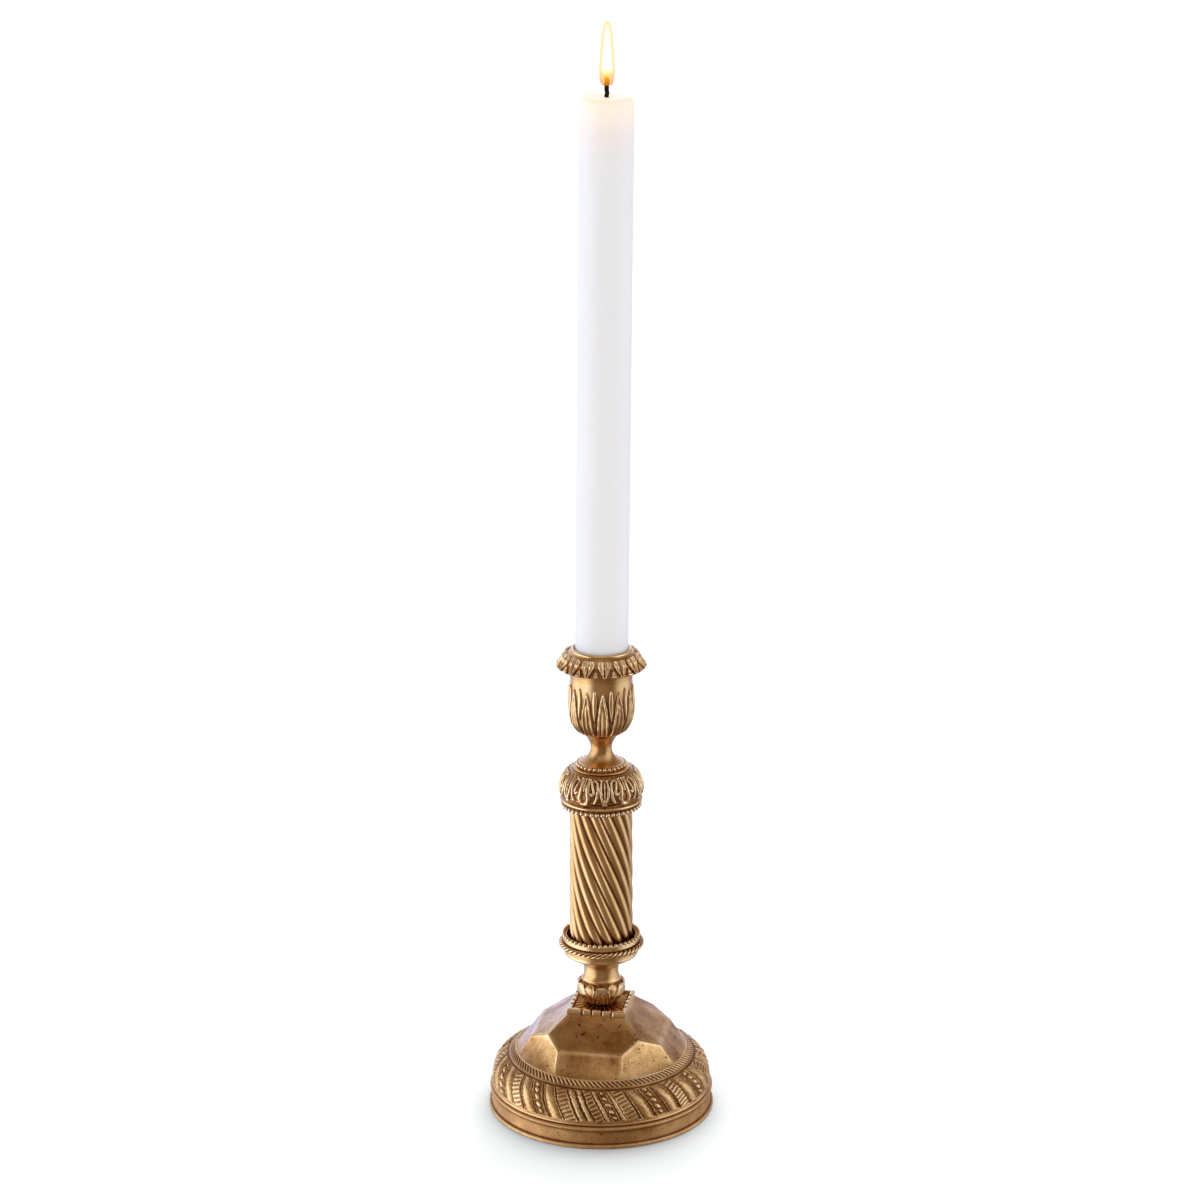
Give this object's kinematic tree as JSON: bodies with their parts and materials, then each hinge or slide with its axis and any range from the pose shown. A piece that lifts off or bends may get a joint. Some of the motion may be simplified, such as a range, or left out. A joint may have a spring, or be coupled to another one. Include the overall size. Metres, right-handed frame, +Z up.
{
  "type": "candlestick",
  "caption": "Brass candlestick with a faceted dome base, twisted reeded column and urn cup, holding a tall white dinner candle in a lift-out nozzle.",
  "frame": {"origin": "centre of the foot ring's underside, on the surface the candlestick stands on", "axes": "+Z up along the tie rod; +X and +Y along the sides of the square plinth"},
  "size_m": [0.0968, 0.0968, 0.4431],
  "materials": {
    "ornament_brass": "aged satin, bright on raised ornament and dark brown in the recesses",
    "plain_brass": "aged satin, lightly tarnished",
    "fluted_brass": "aged satin with bright reeds and brown grooves",
    "pitted_brass": "aged satin with casting pits and worn bright edges",
    "steel": "zinc plated",
    "wax": "smooth white wax, slightly translucent",
    "wick": "charred braided cotton"
  },
  "bodies": {
    "candlestick": {"candle_cup": "ornament_brass", "cup_stem": "plain_brass", "capital": "ornament_brass", "capital_pearl_ring": "ornament_brass", "column": "fluted_brass", "upper_centring_disc": "plain_brass", "lower_centring_disc": "plain_brass", "column_cup": "plain_brass", "rope_ring": "ornament_brass", "lower_stem": "plain_brass", "leaf_knop": "ornament_brass", "square_plinth": "ornament_brass", "base_casting": "pitted_brass", "foot_band": "plain_brass", "tie_rod": "steel", "rod_washer": "steel", "lock_washer": "steel", "rod_nut": "steel"},
    "nozzle": {"nozzle_tube": "plain_brass", "drip_pan": "ornament_brass"},
    "candle": {"candle_wax": "wax", "candle_wick": "wick"}
  },
  "joints": [
    {"name": "nozzle_lift", "type": "slide", "parent": "candlestick", "child": "nozzle", "axis": [0, 0, 1], "range_m": [0, 0.03]},
    {"name": "candle_lift", "type": "slide", "parent": "nozzle", "child": "candle", "axis": [0, 0, 1], "range_m": [0, 0.035]}
  ]
}
